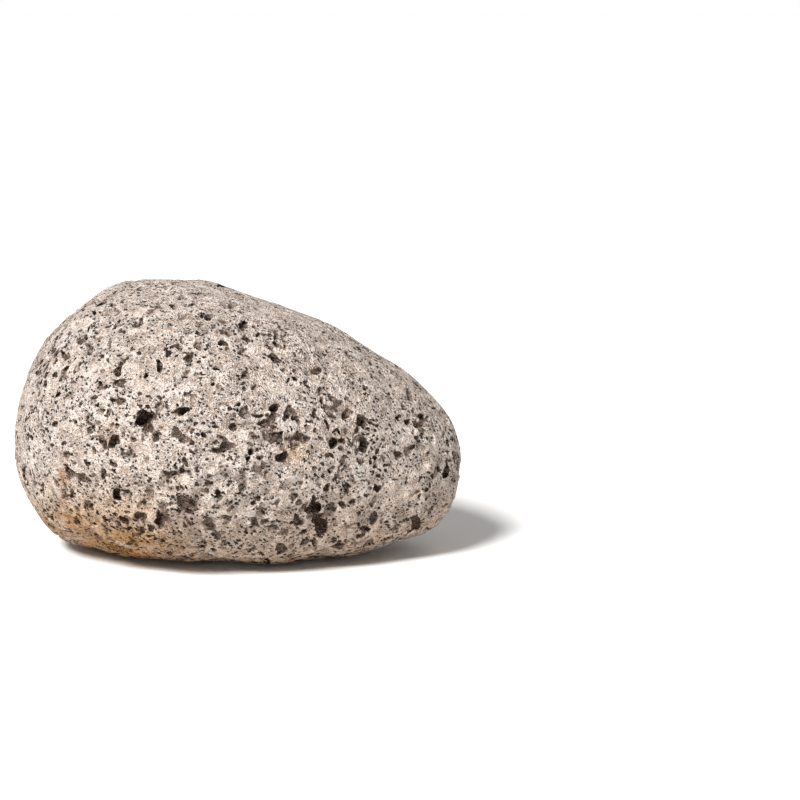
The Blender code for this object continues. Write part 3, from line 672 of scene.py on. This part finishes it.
def blow(axes, groups, warp):
    """Distance to the nearest bubble's wall in every cell of the lattice, negative inside it, and the
    darkness of that bubble. Warp moves the places at which the round bubbles are read."""
    shape = [len(axis) for axis in axes]
    # Farther than any distance that is read.
    wall = np.full(shape, 9.0, np.float32)
    dark = np.zeros(shape, np.float32)
    cell = axes[0][1] - axes[0][0]
    low = np.array([axis[0] for axis in axes])
    joined = {key: np.concatenate([group[key] for group in groups]) for key in groups[0]}
    for centre, to_ball, thin, wide, tone in zip(*joined.values()):
        reach = wide + 3 * cell
        start = np.maximum(((centre - reach - low) / cell).astype(int), 0)
        end = np.minimum(((centre + reach - low) / cell).astype(int) + 2, shape)
        part = tuple(slice(s, e) for s, e in zip(start, end))
        places = np.meshgrid(*(axis[p] for axis, p in zip(axes, part)), indexing="ij")
        offset = [p + w[part] - c for p, w, c in zip(places, warp, centre)]
        turned = (row[0] * offset[0] + row[1] * offset[1] + row[2] * offset[2] for row in to_ball)
        ball = np.sqrt(sum(side**2 for side in turned))
        distance = (ball - 1) * thin
        nearer = distance < wall[part]
        wall[part] = np.where(nearer, distance, wall[part])
        dark[part] = np.where(nearer, tone, dark[part])
    return wall, dark


# From a lattice to a mesh


def surface_net(field, axes):
    """Vertices and quads of the surface where the field is zero. Each cell that the surface crosses gets
    one vertex, at the mean of the places where it crosses the cell's edges, and each lattice edge that
    it crosses gets a quad between the four cells round it."""
    inside = field < 0
    cells = [n - 1 for n in field.shape]
    corners = [(i, j, k) for i in (0, 1) for j in (0, 1) for k in (0, 1)]
    total = np.zeros(cells, np.uint8)
    for corner in corners:
        total += inside[tuple(slice(c, c + n) for c, n in zip(corner, cells))]
    crossed = np.stack(np.nonzero((total > 0) & (total < 8)), axis=1)
    value = {c: field[tuple((crossed + c).T)] for c in corners}
    summed = np.zeros(crossed.shape, np.float32)
    count = np.zeros(len(crossed), np.float32)
    for start in corners:
        for axis in range(3):
            if start[axis]:
                continue
            end = tuple(c + (n == axis) for n, c in enumerate(start))
            cut = (value[start] < 0) != (value[end] < 0)
            share = value[start] / np.where(cut, value[start] - value[end], 1)
            place = np.array(start, np.float32) + share[:, None] * np.eye(3, dtype=np.float32)[axis]
            summed += place * cut[:, None]
            count += cut
    points = crossed + summed / count[:, None]
    step = axes[0][1] - axes[0][0]
    points = points * step + np.array([axis[0] for axis in axes])

    index = np.full(cells, -1, np.int32)
    index[tuple(crossed.T)] = np.arange(len(crossed))
    quads = []
    for axis in range(3):
        u, v = (axis + 1) % 3, (axis + 2) % 3
        near = [slice(1, n - 1) for n in field.shape]
        far = list(near)
        near[axis] = slice(0, field.shape[axis] - 1)
        far[axis] = slice(1, field.shape[axis])
        first, second = inside[tuple(near)], inside[tuple(far)]
        for flip, which in ((False, first & ~second), (True, ~first & second)):
            edge = np.stack(np.nonzero(which), axis=1)
            edge[:, u] += 1
            edge[:, v] += 1
            ring = []
            for du, dv in ((1, 1), (0, 1), (0, 0), (1, 0)):
                cell = edge.copy()
                cell[:, u] -= du
                cell[:, v] -= dv
                ring.append(index[tuple(cell.T)])
            quads.append(np.stack(ring[::-1] if flip else ring, axis=1))
    return points, np.concatenate(quads)


def mesh_of(name, points, faces):
    """A mesh from arrays of points, in millimetres, and of faces with equally many corners."""
    mesh = bpy.data.meshes.new(name)
    sides = faces.shape[1]
    mesh.vertices.add(len(points))
    mesh.vertices.foreach_set("co", (points * MM).astype(np.float32).ravel())
    mesh.loops.add(faces.size)
    mesh.loops.foreach_set("vertex_index", faces.astype(np.int32).ravel())
    mesh.polygons.add(len(faces))
    mesh.polygons.foreach_set("loop_start", np.arange(len(faces), dtype=np.int32) * sides)
    mesh.update(calc_edges=True)
    return mesh


def arrays_of(mesh):
    """Points in millimetres, and triangles, of a mesh of triangles."""
    points = np.empty(len(mesh.vertices) * 3, np.float32)
    mesh.vertices.foreach_get("co", points)
    faces = np.empty(len(mesh.loops), np.int32)
    mesh.loops.foreach_get("vertex_index", faces)
    return points.reshape(-1, 3) / MM, faces.reshape(-1, 3)


def thinned(points, faces, limit):
    """The same surface with at most this many triangles, left where it bends the most."""
    whole = bpy.data.objects.new("whole", mesh_of("whole", points, faces))
    bpy.context.scene.collection.objects.link(whole)
    fewer = whole.modifiers.new("Fewer facets", "DECIMATE")
    fewer.ratio = limit / (len(faces) * 2)
    fewer.use_collapse_triangulate = True
    evaluated = whole.evaluated_get(bpy.context.evaluated_depsgraph_get())
    mesh = bpy.data.meshes.new_from_object(evaluated)
    points, faces = arrays_of(mesh)
    bpy.data.meshes.remove(mesh)
    bpy.data.meshes.remove(whole.data)
    # Thin walls can fold up into two triangles back to back, and both of those go.
    corners = np.sort(faces, axis=1)
    _, kind, count = np.unique(corners, axis=0, return_inverse=True, return_counts=True)
    return points, faces[count[kind.ravel()] == 1]


def one_piece(points, faces):
    """The largest connected part alone. Every point takes the lowest number that it can reach."""
    label = np.arange(len(points))
    while True:
        lowest = label[faces].min(axis=1)
        spread = label.copy()
        np.minimum.at(spread, faces.ravel(), np.repeat(lowest, 3))
        spread = spread[spread]
        if (spread == label).all():
            break
        label = spread
    main = np.bincount(label).argmax()
    faces = faces[(label == main)[faces[:, 0]]]
    used = np.unique(faces)
    place = np.empty(len(points), np.int64)
    place[used] = np.arange(len(used))
    return points[used], place[faces]


def add_attribute(mesh, name, values):
    """Keeps one value for each vertex in the mesh, for the material to read."""
    made = mesh.attributes.new(name, "FLOAT", "POINT")
    made.data.foreach_set("value", values.astype(np.float32))


def read_lattice(values, axes, points):
    """The lattice's values at the cells nearest to these points."""
    cell = axes[0][1] - axes[0][0]
    low = np.array([axis[0] for axis in axes])
    index = np.round((points - low) / cell).astype(int)
    index = np.clip(index, 0, np.array(values.shape) - 1)
    return values[tuple(index.T)]


def stain_weights(studio, points):
    """How strongly each stain reaches each point. Those of the broad face have their full strength in
    the middle of an ellipse on the sight plane and a fifth of it at its edge, and they end behind
    the middle of the stone. The low soil, which is partly painted shade, is strongest at the bottom."""
    eye, look, up = sight(studio)
    ways = points - eye
    ways *= (studio.plane_distance / MM / (ways @ look))[:, None]
    across = ways[:, 0] + studio.plane_aim[0] / MM
    height = ways @ up + studio.plane_aim[1] / MM
    weights = {name: np.zeros(len(points)) for name, *_ in STAINS}
    for name, x, z, wide, tall, strength in STAINS:
        far = np.hypot((across - x) / wide, (height - z) / tall)
        weight = strength * np.exp(-1.5 * far**2) * (points[:, 1] < STAIN_END)
        weights[name] = np.maximum(weights[name], weight)
    weights["soil"] = np.clip((LOW_SOIL_AND_SHADE_HEIGHT - points[:, 2]) / LOW_SOIL_AND_SHADE_HEIGHT, 0, 1)
    return weights


# Materials, and their objects in the scene


def add(tree, kind, links=None, output=0, **settings):
    """Adds a node with its settings and links, each link an input and the socket or value that it gets,
    and returns the output that is asked for."""
    node = tree.nodes.new("ShaderNode" + kind)
    for name, value in settings.items():
        setattr(node, name, value)
    for name, source in (links or {}).items():
        if isinstance(source, bpy.types.NodeSocket):
            tree.links.new(source, node.inputs[name])
        else:
            node.inputs[name].default_value = source
    return node.outputs[output]


def burst_cells(tree, place, crowding, spacing, fewest, widest):
    """Bubbles drawn in 3D cells this many millimetres apart, for those too small for the mesh.

    A cell's chance value plus the crowding, above fewest, gives it a bubble, the wider the higher it
    is, up to widest times the spacing. Inward is that radius minus the distance from the bubble's
    middle. Returns how far down its wall each place is, how deep in it and how near its rim, all from
    0 to 1."""
    distance = add(tree, "TexVoronoi", {"Vector": place, "Scale": 1 / spacing})
    chance = add(tree, "SeparateColor", {0: distance.node.outputs["Color"]})
    chance = add(tree, "Math", {0: chance, 1: crowding}, operation="ADD")
    span = {"Value": chance, "From Min": fewest}
    burst = add(tree, "MapRange", span | {"From Max": fewest + 0.1})
    radius = add(tree, "MapRange", span | {"From Max": 1.0, "To Max": widest})
    inward = add(tree, "Math", {0: radius, 1: distance}, operation="SUBTRACT")
    down = add(tree, "MapRange", {"Value": inward, "From Min": -0.12, "From Max": 0.12})
    down = add(tree, "Math", {0: down, 1: burst}, operation="MULTIPLY")
    deep = add(tree, "MapRange", {"Value": inward, "From Min": 0.0, "From Max": 0.07})
    near = add(tree, "MapRange", {"Value": inward, "From Min": -0.32, "From Max": -0.1})
    near = add(tree, "Math", {0: near, 1: burst}, operation="MULTIPLY")
    return down, deep, near


def pumice_material(colours):
    """Pumice, a froth of volcanic glass, tumbled by water. It is matte all over. The worn skin between
    the bubbles is pale with rock flour, smooth in some patches and crumbly in others, and it is
    browner and darker down in the bubbles, where pale threads of glass are left standing. The
    darkening in the bubbles, in the dips of the relief and towards the bottom is partly painted
    shade, and the pale rims of the bubbles are partly a painted highlight."""
    material = bpy.data.materials.new("tumbled pumice")
    material.use_nodes = True
    tree = material.node_tree
    shader = tree.nodes["Principled BSDF"]
    # The index of glass, but glass so broken up that hardly any gloss is left.
    shader.inputs["Roughness"].default_value = 0.95
    shader.inputs["IOR"].default_value = 1.5
    shader.inputs["Specular IOR Level"].default_value = 0.02

    # Millimetres, with x along the grain of the foam and squeezed there: whatever is drawn comes out
    # 1.4 times as long as wide.
    place = add(tree, "TexCoord", output="Object")
    turned = {"Vector": place, "Rotation": GRAIN_TURN, "Scale": (1.4 * MM, MM, MM)}
    grain = add(tree, "Mapping", turned, vector_type="TEXTURE")
    depth = add(tree, "Attribute", output="Fac", attribute_name="depth")
    dark = add(tree, "Attribute", output="Fac", attribute_name="dark")
    rim = add(tree, "Attribute", output="Fac", attribute_name="rim")

    # Noises, each scale being one over the width of the broadest patches in millimetres. The grit, the
    # specks and the glass fibres are finer than a tenth of a millimetre on the stone, and are drawn as
    # coarse as they need to be to show.
    rough = {"Vector": grain, "Roughness": 0.6}
    mottle = add(tree, "TexNoise", rough | {"Scale": 1 / 6.0, "Detail": 4.0})
    patches = add(tree, "TexNoise", rough | {"Scale": 1 / 3.5, "Detail": 3.0})
    worn = add(tree, "Attribute", output="Fac", attribute_name="worn")
    patches = add(tree, "Math", {0: worn, 1: -0.04, 2: patches}, operation="MULTIPLY_ADD")
    broad = add(tree, "TexNoise", rough | {"Scale": 1 / 2.0, "Detail": 3.0})
    shift = add(tree, "TexNoise", rough | {"Scale": 1 / 0.5, "Detail": 2.0}, "Color")
    grit = add(tree, "TexNoise", {"Vector": grain, "Scale": 1 / 0.8, "Detail": 3.0, "Roughness": 0.8})
    speckle = add(tree, "TexNoise", {"Vector": grain, "Scale": 1 / 0.27, "Detail": 0.0})
    drawn = add(tree, "Mapping", {"Vector": grain, "Scale": (0.5, 1.0, 1.0)})
    fibre = add(tree, "TexNoise", {"Vector": drawn, "Scale": 1 / 0.45, "Detail": 2.0, "Roughness": 0.7})
    # Where the skin is crumbly rather than worn smooth.
    crumbly = {"Value": patches, "From Min": 0.38, "From Max": 0.6, "To Min": 0.65}
    crumbly = add(tree, "MapRange", crumbly)
    crowding = {"Value": patches, "From Min": 0.3, "From Max": 0.7, "To Min": -0.2, "To Max": 0.3}
    crowding = add(tree, "MapRange", crowding)

    # Bubbles of 0.3 to 1 mm, read at places that another noise has moved, which frays their rims.
    shift = add(tree, "VectorMath", {0: shift, "Scale": 0.9}, operation="SCALE")
    moved = add(tree, "VectorMath", {0: grain, 1: shift}, operation="ADD")
    coarse_down, coarse_deep, coarse_near = burst_cells(tree, moved, crowding, 1.0, 0.5, 0.44)
    fine_down, fine_deep, fine_near = burst_cells(tree, moved, crowding, 0.6, 0.2, 0.46)
    # The finest froth: cells half a millimetre apart with thin pale walls, as deep as chance has it.
    cells = add(tree, "TexVoronoi", {"Vector": moved, "Scale": 1 / 0.5})
    hollow = add(tree, "MapRange", {"Value": cells, "From Min": 0.6, "From Max": 0.2})
    chance = add(tree, "SeparateColor", {0: cells.node.outputs["Color"]}, "Green")
    chance = add(tree, "MapRange", {"Value": chance, "From Min": 0.2, "From Max": 0.9})
    chance = add(tree, "Math", {0: chance, 1: crumbly}, operation="MULTIPLY")
    hollow = add(tree, "Math", {0: hollow, 1: chance}, operation="MULTIPLY")

    # The skin: pale flour in patches, brown glass and painted shade in the dips of the rough relief, dark
    # specks and froth that are partly painted shade, pale rims with a painted highlight, then the stains.
    crumb = add(tree, "Math", {0: grit, 1: fibre}, operation="ADD")
    crumb = add(tree, "Math", {0: crumb, 1: broad}, operation="ADD")
    floured = {"Value": mottle, "From Min": 0.4, "From Max": 0.7, "To Max": 0.35}
    floured = add(tree, "MapRange", floured)
    mixed = {"output": 2, "data_type": "RGBA"}
    skin = add(tree, "Mix", {0: floured, 6: (*colours.skin, 1), 7: (*colours.flour_and_highlight, 1)}, **mixed)
    # Brown glass colour in the dips of the crumbly relief, which also paints shade into them.
    glass_and_shade_in_dips = {"Value": crumb, "From Min": 1.2, "From Max": 1.62, "To Min": 1.0, "To Max": 0.0}
    glass_and_shade_in_dips = add(tree, "MapRange", glass_and_shade_in_dips)
    glass_and_shade_in_dips = add(tree, "Math", {0: glass_and_shade_in_dips, 1: crumbly}, operation="MULTIPLY")
    skin = add(tree, "Mix", {0: glass_and_shade_in_dips, 6: skin, 7: (*colours.pore, 1)}, **mixed)
    # Dark specks and froth cells take the pore colour: brown glass, and painted shade of pits too fine for
    # the mesh.
    specks = {"Value": speckle, "From Min": 0.4, "From Max": 0.5, "To Min": 0.6, "To Max": 0.0}
    specks = add(tree, "MapRange", specks)
    specks = add(tree, "Math", {0: specks, 1: crumbly}, operation="MULTIPLY")
    froth = add(tree, "Math", {0: hollow, 1: 0.8}, operation="MULTIPLY")
    specks = add(tree, "Math", {0: specks, 1: froth}, operation="MAXIMUM")
    skin = add(tree, "Mix", {0: specks, 6: skin, 7: (*colours.pore, 1)}, **mixed)
    # Pale rims round the mouths of the bubbles: worn skin, brightened further as a painted highlight.
    rims = add(tree, "Math", {0: coarse_near, 1: fine_near}, operation="MAXIMUM")
    rims = add(tree, "Math", {0: rims, 1: rim}, operation="MAXIMUM")
    rims = add(tree, "Math", {0: rims, 1: 0.7}, operation="MULTIPLY")
    skin = add(tree, "Mix", {0: rims, 6: skin, 7: (*colours.flour_and_highlight, 1)}, **mixed)
    uneven = add(tree, "MapRange", {"Value": mottle, "From Min": 0.25, "From Max": 0.5})
    # The stains, and towards the bottom a darker, warmer tint that is partly dirt and partly painted shade.
    for name in ("ochre", "rust", "violet", "soil"):
        stain = add(tree, "Attribute", output="Fac", attribute_name=name)
        stain = add(tree, "Math", {0: stain, 1: uneven}, operation="MULTIPLY")
        tint = (*getattr(colours, name), 1)
        skin = add(tree, "Mix", {0: stain, 6: skin, 7: tint}, blend_type="MULTIPLY", **mixed)
    # The drawn bubbles have only bump relief: the pore colour down their walls and the deep colour inside
    # them are brown glass and painted shade.
    down = add(tree, "Math", {0: coarse_down, 1: fine_down}, operation="MAXIMUM")
    down = add(tree, "Math", {0: down, 1: 0.35}, operation="MULTIPLY")
    skin = add(tree, "Mix", {0: down, 6: skin, 7: (*colours.pore, 1)}, **mixed)
    drawn_deep = add(tree, "Math", {0: coarse_deep, 1: fine_deep}, operation="MAXIMUM")
    drawn_deep = add(tree, "Math", {0: drawn_deep, 1: 0.92}, operation="MULTIPLY")
    skin = add(tree, "Mix", {0: drawn_deep, 6: skin, 7: (*colours.deep, 1)}, **mixed)

    # Down in a bubble: brown glass, then dirt and painted shade towards the bottom, under pale threads of
    # glass.
    low = add(tree, "MapRange", {"Value": depth, "From Min": 0.05, "From Max": 0.5})
    dirt_and_shade = add(tree, "Math", {0: dark, 1: 0.65, 2: 0.15}, operation="MULTIPLY_ADD")
    low = add(tree, "Math", {0: low, 1: dirt_and_shade}, operation="MULTIPLY")
    inner = add(tree, "Mix", {0: low, 6: (*colours.pore, 1), 7: (*colours.deep, 1)}, **mixed)
    walls = {"Vector": moved, "Scale": 1 / 0.7}
    walls = add(tree, "TexVoronoi", walls, feature="DISTANCE_TO_EDGE")
    walls = {"Value": walls, "From Min": 0.02, "From Max": 0.14, "To Min": 1.0, "To Max": 0.0}
    threads = add(tree, "MapRange", walls)
    left = add(tree, "MapRange", {"Value": grit, "From Min": 0.45, "From Max": 0.55})
    threads = add(tree, "Math", {0: threads, 1: left}, operation="MULTIPLY")
    fade = {"Value": low, "From Min": 0.3, "From Max": 1.0, "To Min": 0.6, "To Max": 0.12}
    fade = add(tree, "MapRange", fade)
    threads = add(tree, "Math", {0: threads, 1: fade}, operation="MULTIPLY")
    inner = add(tree, "Mix", {0: threads, 6: inner, 7: (*colours.skin, 1)}, **mixed)
    speck = {"Value": speckle, "From Min": 0.4, "From Max": 0.54, "To Min": 0.4, "To Max": 1.2}
    speck = add(tree, "MapRange", speck)
    inner = add(tree, "Mix", {0: 1.0, 6: inner, 7: speck}, blend_type="MULTIPLY", **mixed)
    share = add(tree, "MapRange", {"Value": depth, "From Min": 0.06, "From Max": 0.2})
    filled = add(tree, "Math", {0: dark, 1: 0.85, 2: 0.1}, operation="MULTIPLY_ADD")
    share = add(tree, "Math", {0: share, 1: filled}, operation="MULTIPLY")
    colour = add(tree, "Mix", {0: share, 6: skin, 7: inner}, **mixed)
    tree.links.new(colour, shader.inputs["Base Color"])

    # Relief in millimetres: crumbs where the skin is crumbly, low swells, and the drawn bubbles.
    relief = add(tree, "Math", {0: grit, 1: fibre}, operation="ADD")
    relief = add(tree, "Math", {0: speckle, 1: 0.8, 2: relief}, operation="MULTIPLY_ADD")
    relief = add(tree, "Math", {0: relief, 1: crumbly}, operation="MULTIPLY")
    relief = add(tree, "Math", {0: relief, 1: broad}, operation="ADD")
    relief = add(tree, "Math", {0: relief, 1: 0.9}, operation="MULTIPLY")
    relief = add(tree, "Math", {0: coarse_down, 1: -0.6, 2: relief}, operation="MULTIPLY_ADD")
    relief = add(tree, "Math", {0: fine_down, 1: -0.4, 2: relief}, operation="MULTIPLY_ADD")
    relief = add(tree, "Math", {0: hollow, 1: -0.3, 2: relief}, operation="MULTIPLY_ADD")
    bump = add(tree, "Bump", {"Height": relief, "Strength": 1.0, "Distance": MM})
    tree.links.new(bump, shader.inputs["Normal"])
    return material


def plain_material(name, colour, roughness):
    """A material of one even colour. The floor's matte paper shows no gloss and takes a soft shadow."""
    material = bpy.data.materials.new(name)
    material.use_nodes = True
    shader = material.node_tree.nodes["Principled BSDF"]
    shader.inputs["Base Color"].default_value = (*colour, 1)
    shader.inputs["Roughness"].default_value = roughness
    return material


def link(name, data):
    """A new object with this data, put into the scene."""
    made = bpy.data.objects.new(name, data)
    bpy.context.scene.collection.objects.link(made)
    return made


class PUMICE_OT_stone(Operator):
    """Make the tumbled pumice stone"""

    bl_idname = "pumice.stone"
    bl_label = "Pumice stone"

    def execute(self, context):
        scene = context.scene
        form, foam, studio = scene.stone_form, scene.stone_foam, scene.studio
        cell = foam.cell / MM * 1
        low, high = (np.array(corner) / MM for corner in CAD_BOX)
        axes = [np.arange(a - 4 * cell, b + 4 * cell, cell, dtype=np.float32) for a, b in zip(low, high)]
        height = above_skin(form, axes[0][:, None, None], axes[1][:, None], axes[2])
        placed = face_bubbles(form, studio)
        groups = scatter(form, foam, studio, height, axes, placed)
        rng = np.random.default_rng(foam.seed)
        warp = [
            sum(share * smooth_noise(rng, axes, size) for size, share in WARPS) * foam.warp / MM
            for _ in range(3)
        ]
        wall, dark = blow(axes, [placed, *groups], warp)
        dents = sum(share * smooth_noise(rng, axes, size) for size, share in DENTS)
        dents = foam.dents / MM * np.maximum(dents, 0) * (axes[2] > DENTS_FROM)
        size, share = CRUMBS
        crumbs = foam.crumbs / MM * share * smooth_noise(rng, axes, size)
        # Stone is where both are negative: inside the dented skin and outside every crumbly wall.
        points, quads = surface_net(np.maximum(height + dents, crumbs - wall), axes)
        points, faces = thinned(points, quads, foam.facets)
        points, faces = one_piece(points, faces)
        # The lowest crumbs are worn off level with what the stone stands on.
        points[:, 2] = np.maximum(points[:, 2], 0)

        mesh = mesh_of("tumbled_pumice", points, faces)
        add_attribute(mesh, "dark", read_lattice(dark, axes, points))
        depth = -above_skin(form, *points.T) - DENT_SHARE * read_lattice(dents, axes, points)
        near = np.clip(1 - read_lattice(wall, axes, points) / RIM_WIDTH, 0, 1)
        add_attribute(mesh, "depth", depth)
        add_attribute(mesh, "rim", near * np.clip(1 - depth / RIM_DEPTH, 0, 1))
        add_attribute(mesh, "worn", np.clip((points[:, 2] - WORN_FROM) / WORN_OVER, 0, 1))
        for name, weights in stain_weights(studio, points).items():
            add_attribute(mesh, name, weights)
        mesh.shade_smooth()
        mesh.set_sharp_from_angle(angle=math.radians(SHARP_EDGE))
        mesh.materials.append(pumice_material(scene.stone_colours))
        stone = link("tumbled_pumice", mesh)
        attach(stone, "root")
        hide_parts("pumice_stone")
        return {"FINISHED"}


class PUMICE_OT_studio(Operator):
    """Set up the floor, the lights and the camera"""

    bl_idname = "pumice.studio"
    bl_label = "Studio"

    def execute(self, context):
        studio = context.scene.studio
        corners = np.array([[-1, -1, 0], [1, -1, 0], [1, 1, 0], [-1, 1, 0]]) * studio.floor_size / 2
        floor = link("studio_floor", mesh_of("studio_floor", corners / MM, np.array([[0, 1, 2, 3]])))
        floor.data.materials.append(plain_material("matte white paper", studio.floor, 0.9))

        # Brightest at the level of the floor and dimmer above, as in a room with white walls.
        world = bpy.data.worlds.new("white room")
        world.use_nodes = True
        background = world.node_tree.nodes["Background"]
        place = add(world.node_tree, "TexCoord", output="Generated")
        rise = add(world.node_tree, "SeparateXYZ", {"Vector": place}, "Z")
        fade = {"Value": rise, "From Min": 0.02, "From Max": 0.3, "To Min": studio.horizon}
        strength = add(world.node_tree, "MapRange", fade | {"To Max": studio.sky})
        world.node_tree.links.new(strength, background.inputs["Strength"])
        background.inputs["Color"].default_value = (*srgb("#FFFFFF"), 1)
        context.scene.world = world

        for name in ("key", "fill"):
            light = bpy.data.lights.new(name, "SUN")
            light.energy = getattr(studio, name)
            light.angle = getattr(studio, name + "_softness")
            way = Vector(getattr(studio, name + "_from"))
            link(name, light).rotation_euler = way.to_track_quat("Z", "Y").to_euler()

        eye, _, _ = sight(studio)
        camera = link("camera", bpy.data.cameras.new("camera"))
        camera.data.lens = studio.lens
        camera.location = eye * MM
        camera.rotation_euler = (math.radians(90) - studio.elevation, 0, 0)
        context.scene.camera = camera
        context.scene.view_settings.view_transform = "Standard"
        return {"FINISHED"}


class PUMICE_PT_panel(Panel):
    """The stone's and the studio's values, each over the button that makes it"""

    bl_idname = "PUMICE_PT_panel"
    bl_label = "Pumice stone"
    bl_space_type = "VIEW_3D"
    bl_region_type = "UI"
    bl_category = "Pumice"

    def draw(self, context):
        for group in (context.scene.stone_form, context.scene.stone_foam, context.scene.stone_colours):
            box = self.layout.box()
            for name in group.__annotations__:
                box.prop(group, name)
        self.layout.operator(PUMICE_OT_stone.bl_idname)
        for name in Studio.__annotations__:
            self.layout.prop(context.scene.studio, name)
        self.layout.operator(PUMICE_OT_studio.bl_idname)


CLASSES = (
    StoneForm,
    StoneFoam,
    StoneColours,
    Studio,
    PUMICE_OT_stone,
    PUMICE_OT_studio,
    PUMICE_PT_panel,
)


def register():
    """Makes the classes and their values known."""
    for kind in CLASSES:
        bpy.utils.register_class(kind)
    bpy.types.Scene.stone_form = PointerProperty(type=StoneForm)
    bpy.types.Scene.stone_foam = PointerProperty(type=StoneFoam)
    bpy.types.Scene.stone_colours = PointerProperty(type=StoneColours)
    bpy.types.Scene.studio = PointerProperty(type=Studio)


def unregister():
    """Takes the values and the classes away again."""
    for name in ("stone_form", "stone_foam", "stone_colours", "studio"):
        delattr(bpy.types.Scene, name)
    for kind in reversed(CLASSES):
        bpy.utils.unregister_class(kind)


def main():
    """Makes the stone and the studio."""
    register()
    bpy.ops.pumice.stone()
    bpy.ops.pumice.studio()
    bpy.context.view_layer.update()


if __name__ == "__main__":
    main()
